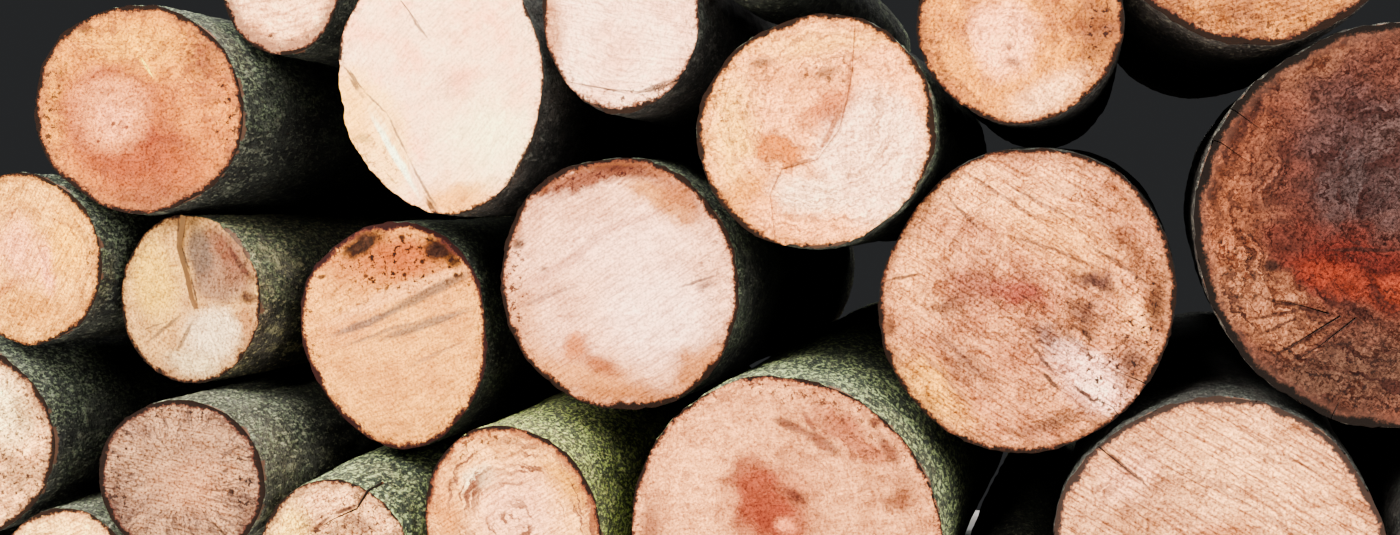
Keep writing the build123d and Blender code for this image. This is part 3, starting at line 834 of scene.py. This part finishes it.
LOOKS["middle_log_5"] = end_look(
    (-20, 72, 70, 22, -8, "E79B58", 85, 90),
    (-72, 16, 22, 40, 0, "DE924F", 80, 90),
    (-62, -62, 40, 20, -42, "CF8A20", 85, 90),
    (20, 42, 50, 20, -20, "D08840", 80, 90),
    (-30, 10, 46, 16, -6, "773F2B", 95, 80),
    (0, 4, 28, 12, -10, "69291E", 90, 90),
    (-54, -4, 16, 10, 20, "46281F", 85, 90),
    (-40, -40, 26, 12, -40, "603C28", 80, 90),
    (45.6, 12.5, 22, 10, -30, "38221D", 95, 80),
    (40, -10, 18, 12, -30, "47291F", 90, 80),
    (20, -30, 26, 11, -42, "463230", 85, 80),
    (33, -27, 20, 4, -44, "281B19", 80, 80),
    (45.6, -54, 38, 20, -36, "F9B391", 95, 70),
    (72, -10, 20, 12, -60, "E09452", 95, 60),
    (72, -42, 18, 18, 0, "452D23", 85, 90),
    (87, 0, 9, 28, 0, "2E190F", 90, 80),
    (70, 30, 30, 10, -48, "5E331D", 85, 80),
    (60, 62, 20, 10, -40, "844C26", 70, 90),
    (-92, -20, 6, 8, 0, "4B2817", 90, 70),
    (19, -80, 30, 7, 14, "3D261D", 75, 90),
    (42, -22, 6, 3, -40, "1E110E", 90, 60),
    line(10, -46, 22, -60, 1.8, "1E120F", 90),
    line(30, -56, 50, -70, 1.8, "1E120F", 90),
    line(0, -25, 20, -50, 1.4, "33221E", 80),
    line(14, 50, -45, 86, 1.4, "603B2A"),
    line(30, 50, -20, 82, 1.4, "653F2D"),
    line(-56, 74, -28, 42, 1.6, "472D22"),
    line(-98, 12, -70, 18, 1.4, "352119"),
    line(-15, 44, 50, 22, 1.4, "623C28"),
    line(35, 40, 85, 10, 1.4, "472B1F"),
    line(-75, -30, -30, -72, 1.6, "7C4D2F"),
    line(-60, -20, -20, -56, 1.4, "5B3727"),
    specks=(
        (30, -20, 60, 50, -30, 70), (82, -10, 20, 60, 0, 100), (60, -50, 30, 30, 0, 90),
        (-40, 0, 40, 30, 0, 50), (50, 70, 20, 15, 0, 70),
    ),
    bark="brown_bark", wood="B67243", deep="945534", pith=(5, 5), rings=0.4, ring_spacing=5,
    ring_colour="623C27", strokes=0.7, rays=0.2, ray_colour="4D3022", texture=0.8, saw=0.6, saw_angle=-32,
    saw_length=45, speck_colour="20110C", rim_colour="704325",
)
LOOKS["low_log_1"] = end_look(
    (50, 35, 30, 40, 20, "FFDE93", 80, 80),
    (55, -10, 20, 10, -30, "463325", 70, 90),
    (60, -30, 30, 20, 0, "543E2A", 70, 90),
    (70, 30, 20, 30, 0, "684C2F", 60, 90),
    specks=((60, 0, 50, 90, 0, 90),),
    chips=0.5, wood="F7B16E", deep="966942", rings=0.35, texture=0.8, rim_width=20, rim_colour="4D3423",
    bark_width=6,
)
LOOKS["low_log_2"] = end_look(
    (20, -10, 60, 45, 0, "A46D44", 70, 80),
    (-75, -30, 20, 50, 0, "553D30", 70, 80),
    (75, -35, 20, 40, 0, "553D30", 70, 80),
    (60, -12, 4.5, 4.5, 0, "1E100B", 95, 50),
    line(36, -46, 62, -72, 2, "1B0E09"),
    (75, -75, 20, 20, 0, "33251E", 70, 80),
    (-60, -75, 30, 15, 0, "312018", 70, 80),
    specks=((-80, 0, 25, 90, 0, 100), (80, -10, 25, 70, 0, 100), (0, 85, 80, 16, 0, 100)),
    bark="grey_bark", chips=0.45, wood="8A6344", deep="6E4E39", rings=0.1, strokes=0.3, rays=0.75,
    ray_colour="3D2B23", texture=0.9, saw=0.5, saw_angle=-12, speck_colour="20130E", rim_width=14,
    rim_colour="463027", bark_width=7,
)
LOOKS["ground_log_3"] = end_look(
    (0, 40, 14, 10, 20, "483529", 70, 80),
    (65, 45, 14, 12, 0, "47362D", 70, 80),
    (-30, 55, 20, 16, 0, "5D442F", 60, 90),
    # Painted shade below the crack
    (30, 56, 20, 14, -20, "5C3D2C", 80, 80),
    (-50, 50, 30, 30, 0, "FBC745", 70, 80),
    line(40, 98, 26, 76, 2.6, "2C160F", 95),
    line(26, 76, -1, 63, 2.6, "2F1811", 95),
    line(-1, 63, -24, 48, 2.2, "341E15", 90),
    specks=((20, 50, 70, 50, 0, 90),),
    bark="lush_bark", wood="E4A267", deep="9D7145", rings=0.2, texture=0.9, rim_colour="68472C",
    bark_width=3,
)
LOOKS["low_log_3"] = end_look(
    (60, 50, 40, 20, -45, "B5750A", 80, 80),
    (-35, 45, 20, 12, 30, "FFE0A4", 85, 80),
    (5, 5, 55, 60, 0, "E99F72", 80, 70),
    (-75, 10, 20, 50, 0, "AA611D", 70, 80),
    specks=((-40, 80, 60, 20, 0, 80), (-90, 20, 10, 40, 0, 70)),
    bark="bright_bark", wood="E89F54", deep="B17131", pith=(5, 5), rings=1, ring_spacing=8,
    ring_colour="663C26", strokes=0.35, rays=0.15, texture=0.6, rim=0.8, rim_colour="743B1C",
)
LOOKS["ground_log_6"] = end_look(
    (-50, 35, 45, 60, 20, "D68C53", 80, 80),
    (10, 45, 50, 20, -30, "C17C49", 70, 80),
    (-8, 20, 34, 34, -30, "7C3920", 90, 70),
    (-16, 30, 16, 26, 30, "682715", 90, 70),
    (-8, 10, 24, 14, 0, "642213", 80, 80),
    (8, 28, 10, 5, -30, "3D1611", 85, 70),
    (2, 10, 7, 5, 0, "CD7244", 80, 70),
    line(-6, 74, 16, 66, 3.5, "43251C", 85),
    line(12, 68, 36, 54, 4, "4C291D", 85),
    line(12, 82, 22, 64, 2, "583021", 80),
    (42, 66, 34, 12, -35, "773822", 80, 60),
    (56, 76, 4, 3, -30, "2E140E", 90, 60),
    line(58, 70, 72, 50, 4, "4C271C", 80),
    (72, 32, 12, 13, 0, "5D311B", 90, 80),
    (-86, 0, 8, 30, 0, "603320", 80, 70),
    specks=((50, 70, 40, 20, -35, 70), (0, 92, 80, 10, 0, 80)),
    bark="lush_bark", wood="C27E4B", deep="985C33", pith=(-8, 10), rings=0.35, ring_spacing=6,
    ring_colour="733D26", strokes=0.5, rays=0.4, ray_colour="6C3822", texture=0.6, saw=0.2, saw_angle=10,
    speck_colour="2D120D", rim_width=12, rim_colour="693521", bark_width=3,
)
LOOKS["ground_log_8"] = end_look(
    (20, 50, 60, 35, -20, "E39F63", 70, 90),
    (-55, 50, 22, 14, 30, "DE976B", 80, 80),
    (0, 12, 30, 14, 0, "9A5831", 70, 90),
    line(-74, 70, -38, 40, 1.4, "3D231B", 90),
    line(10, 80, 66, 50, 1.4, "855637", 70),
    line(-30, 60, 60, 10, 1, "794F36", 70),
    specks=((-30, 30, 50, 40, 0, 30),),
    bark="brown_bark", wood="B87D50", deep="9B643A", pith=(-2, -8), ring_spacing=9, ring_colour="74462D",
    rays=0.1, texture=0.8, saw=0.75, saw_angle=-30, saw_length=45, saw_spacing=3.4, speck_colour="351D16",
    dirt=0.5, rim=0.7, rim_width=14, rim_colour="5F3527", bark_width=7, inner_bark="472B23",
    outer_bark="201712",
)
LOOKS["ground_log_9"] = end_look(
    bark="brown_bark", wood="955613", deep="74421E", rings=0.5, rim_colour="52331D",
)
HIDDEN_LOOK = PLAIN_WOODS["pale"] | dict(bark="grey_bark")

# Regions that lie deeper than the rest of a sawn end, up to the felling cut: millimetres, and their corners
FELLING_STEPS = {
    "upper_log_2": (3, ((-120, 40), (-83, 21), (-68, -4), (-47, -26), (-26, -66), (2, -120), (-120, -120))),
    "upper_log_3": (
        2.5,
        (
            (34, 120), (30, 49), (26, 28), (20, 3), (2, -22), (-28, -30), (-38, -51), (-30, -120),
            (130, -120), (130, 120),
        ),
    ),
    "top_log_2": (
        2.5,
        ((-120, -60), (-53, -72), (-11, -79), (24, -82), (59, -72), (120, -60), (120, -130), (-120, -130)),
    ),
}

# The torn half of one end: its depth at the split, where that lies, its roughness and its outline
TORN_LOG = "middle_log_2"
TORN_DEPTH = 13 * MM
TORN_SPLIT = -10
TORN_FIBRE = 2.2 * MM
TORN_REGION = (
    (-10, 120), (-10, 96), (-16, 64), (-6, 30), (0, 1), (6, -12), (40, -6), (84, 1), (130, 5), (130, 120),
)

# Open cracks in sawn ends: their width at the start and their depth, in millimetres, and their course to
# where they close
CRACKS = {
    "ground_log_3": ((4, 45, ((46, 112), (36, 93), (26, 76), (-1, 63), (-24, 48))),),
    "ground_log_8": ((1.6, 20, ((-72, 66), (-55, 53), (-38, 40))),),
    "middle_log_4": ((2, 16, ((36, -110), (21, -95), (10, -90))),),
    "middle_log_5": (
        (2.4, 18, ((98, -62), (72, -50), (50, -42))),
        (1.8, 12, ((70, -86), (56, -68), (42, -62))),
    ),
    "middle_log_6": (
        (2.2, 20, ((-90, 62), (-79, 55), (-60, 41))),
        (2, 18, ((-97, 44), (-86, 40), (-65, 25))),
        (1.8, 20, ((-34, -42), (-47, -38.5), (-69, -35))),
        (2, 20, ((-29, -43), (-45, -54), (-63, -66))),
        (1.8, 20, ((-22, -44), (-38, -58), (-57, -71))),
        (2.4, 25, ((-35, -110), (-31, -92), (-26, -80))),
        (2.4, 25, ((50, 100), (32, 60), (12, 30))),
    ),
    "low_log_2": ((2, 14, ((72, -90), (60, -74), (42, -52))),),
    "upper_log_2": ((1.2, 10, ((-34, 72), (-20, 55), (-10, 40))),),
}

# How far a cutting block stands out before the end that it cuts
CLEAR_OF_END = 30 * MM


def cutter(stem, corners, depth):
    """A block with the outline of corners, from well before the front end to a depth in it."""
    bpy.ops.mesh.primitive_circle_add(vertices=len(corners), radius=1, fill_type="NGON")
    block = bpy.context.object
    for vertex, corner in zip(block.data.vertices, corners):
        vertex.co = stem.on_front(*corner, depth)
    draw_out(-depth - CLEAR_OF_END)
    return block


def crack_block(stem, width, depth, course):
    """A thin block along a crack's course, as wide as the crack at its open end."""
    course = [as_shares(*place) for place in course]
    other_side = []
    for place, (right, up) in enumerate(course[:-1]):
        after = course[place + 1]
        along = Vector((after[0] - right, after[1] - up)).normalized()
        share = width / stem.radius * (1 - place / (len(course) - 1))
        other_side.append((right - along.y * share, up + along.x * share))
    return cutter(stem, (*course, *reversed(other_side)), depth)


def torn_block(stem):
    """A block with a fibrous floor that is deep along the split and rises to the rim."""
    bpy.ops.mesh.primitive_grid_add(x_subdivisions=80, y_subdivisions=80, size=2.6)
    block = bpy.context.object
    for vertex in block.data.vertices:
        right, up = vertex.co.x, vertex.co.y
        fibre = noise.fractal(Vector((right * 9 + up, up * 2.2, 3.0)), 1.0, 2.0, 4)
        depth = TORN_DEPTH * (1 - right + TORN_SPLIT / 100) + fibre * TORN_FIBRE
        vertex.co = stem.on_front(right, up, depth)
    draw_out(-TORN_DEPTH - CLEAR_OF_END)
    combine(block, cutter(stem, [as_shares(*place) for place in TORN_REGION], TORN_DEPTH * 2), "INTERSECT")
    return block


def combine(piece, other, way):
    """Cuts or trims a piece with another one, which is used up."""
    select_only(piece)
    step = piece.modifiers.new("cut", "BOOLEAN")
    step.operation = way
    step.solver = "MANIFOLD"
    step.object = other
    bpy.ops.object.modifier_apply(modifier=step.name)
    bpy.data.objects.remove(other)


def carve(log, stem, block):
    """Cuts a block out of a log, and maps the new faces onto the end's disc as the others are."""
    map_on_end(block.data, stem.shares(coordinates(block.data)))
    combine(log, block, "DIFFERENCE")


plain_log = model_plain_log()
map_on_end(plain_log.data, coordinates(plain_log.data)[:, (0, 2)])

# Front end, bark and back end each have their own material
for face in plain_log.data.polygons:
    face.material_index = 0 if face.normal.y < -END_FACE else 2 if face.normal.y > END_FACE else 1
for _ in range(3):
    plain_log.data.materials.append(None)

barks = {name: bark(name, look) for name, look in BARKS.items()}
back_woods = {
    name: sawn_wood(f"sawn_back_{name}", BACK_RADIUS, BACK_SEED + number, look)
    for number, (name, look) in enumerate(PLAIN_WOODS.items())
}
slots = {entry["node"]: entry["material_slot"] for entry in frame["record"]["subparts"]}
for number, node in enumerate(sorted(frame["nodes"])):
    stem, slot, look = Stem(node), slots[node], LOOKS.get(node, HIDDEN_LOOK)
    log = plain_log.copy()
    log.data = plain_log.data.copy()
    log.name = f"{node}_in_bark"
    bpy.context.scene.collection.objects.link(log)
    fit(log, stem, number, look["chips"])
    front_wood = sawn_wood(f"sawn_wood_{node}", stem.radius, number, look)
    back_wood = back_woods[slot.removesuffix("_log")]
    for place, material in enumerate((front_wood, barks[look["bark"]], back_wood)):
        log.data.materials[place] = material
    if node in FELLING_STEPS:
        depth, corners = FELLING_STEPS[node]
        carve(log, stem, cutter(stem, [as_shares(*place) for place in corners], depth * MM))
    if node == TORN_LOG:
        carve(log, stem, torn_block(stem))
    for width, depth, course in CRACKS.get(node, ()):
        carve(log, stem, crack_block(stem, width * MM, depth * MM, course))
    select_only(log)
    bpy.ops.object.shade_smooth_by_angle(angle=math.radians(40))
    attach(log, "root")
    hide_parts(node)
bpy.data.objects.remove(plain_log)

# Floor: a matt, pale painted board, which shows the stack's shadow
bpy.ops.mesh.primitive_plane_add(size=4.8, location=(0, -1.83, -0.5 * MM))
floor = bpy.context.object
floor.name = "floor"
bpy.ops.object.transform_apply()
floor.data.materials.append(Finish("pale_floor", "D8D6D2").close(roughness=0.9, specular=0.2, bump=0.0))

# Light: a large soft light in front and above on the left, a weaker one on the right, and others above,
# beside and behind that show the barks. Each is a disc: its place, its width and its power in watts.
AIM = Vector((0.1, -0.4, 0.45))
LIGHTS = {
    "key": ((-1.5, -3.6, 3.1), 2.4, 1000),
    "fill": ((2.6, -3.2, 1.6), 2.4, 200),
    "top": ((0.0, -0.5, 3.6), 2.6, 320),
    "left": ((-3.4, -0.1, 2.2), 2.4, 300),
    "right": ((3.6, -0.1, 2.2), 2.4, 300),
    "back": ((0.8, 3.2, 4.0), 2.6, 140),
}
for name, (place, width, power) in LIGHTS.items():
    light = bpy.data.lights.new(name, "AREA")
    light.shape = "DISK"
    light.size = width
    light.energy = power
    lamp = bpy.data.objects.new(name, light)
    lamp.location = place
    lamp.rotation_euler = (AIM - Vector(place)).to_track_quat("-Z", "Y").to_euler()
    bpy.context.scene.collection.objects.link(lamp)
room = bpy.data.worlds.new("room")
bpy.context.scene.world = room
room.use_nodes = True
room.node_tree.nodes["Background"].inputs["Color"].default_value = hex_colour("B9BCC0")
room.node_tree.nodes["Background"].inputs["Strength"].default_value = 0.05

# Camera: in front of the stack, a little to its right, looking slightly down and left
LOOKING_DOWN, LOOKING_LEFT = 3.839, 11.285
camera = bpy.data.objects.new("camera", bpy.data.cameras.new("camera"))
camera.data.lens = 48.86
camera.data.sensor_width = 36
camera.location = (0.4195, -2.4979, 0.597)
camera.rotation_euler = (math.radians(90 - LOOKING_DOWN), 0, math.radians(LOOKING_LEFT))
bpy.context.scene.collection.objects.link(camera)
bpy.context.scene.camera = camera
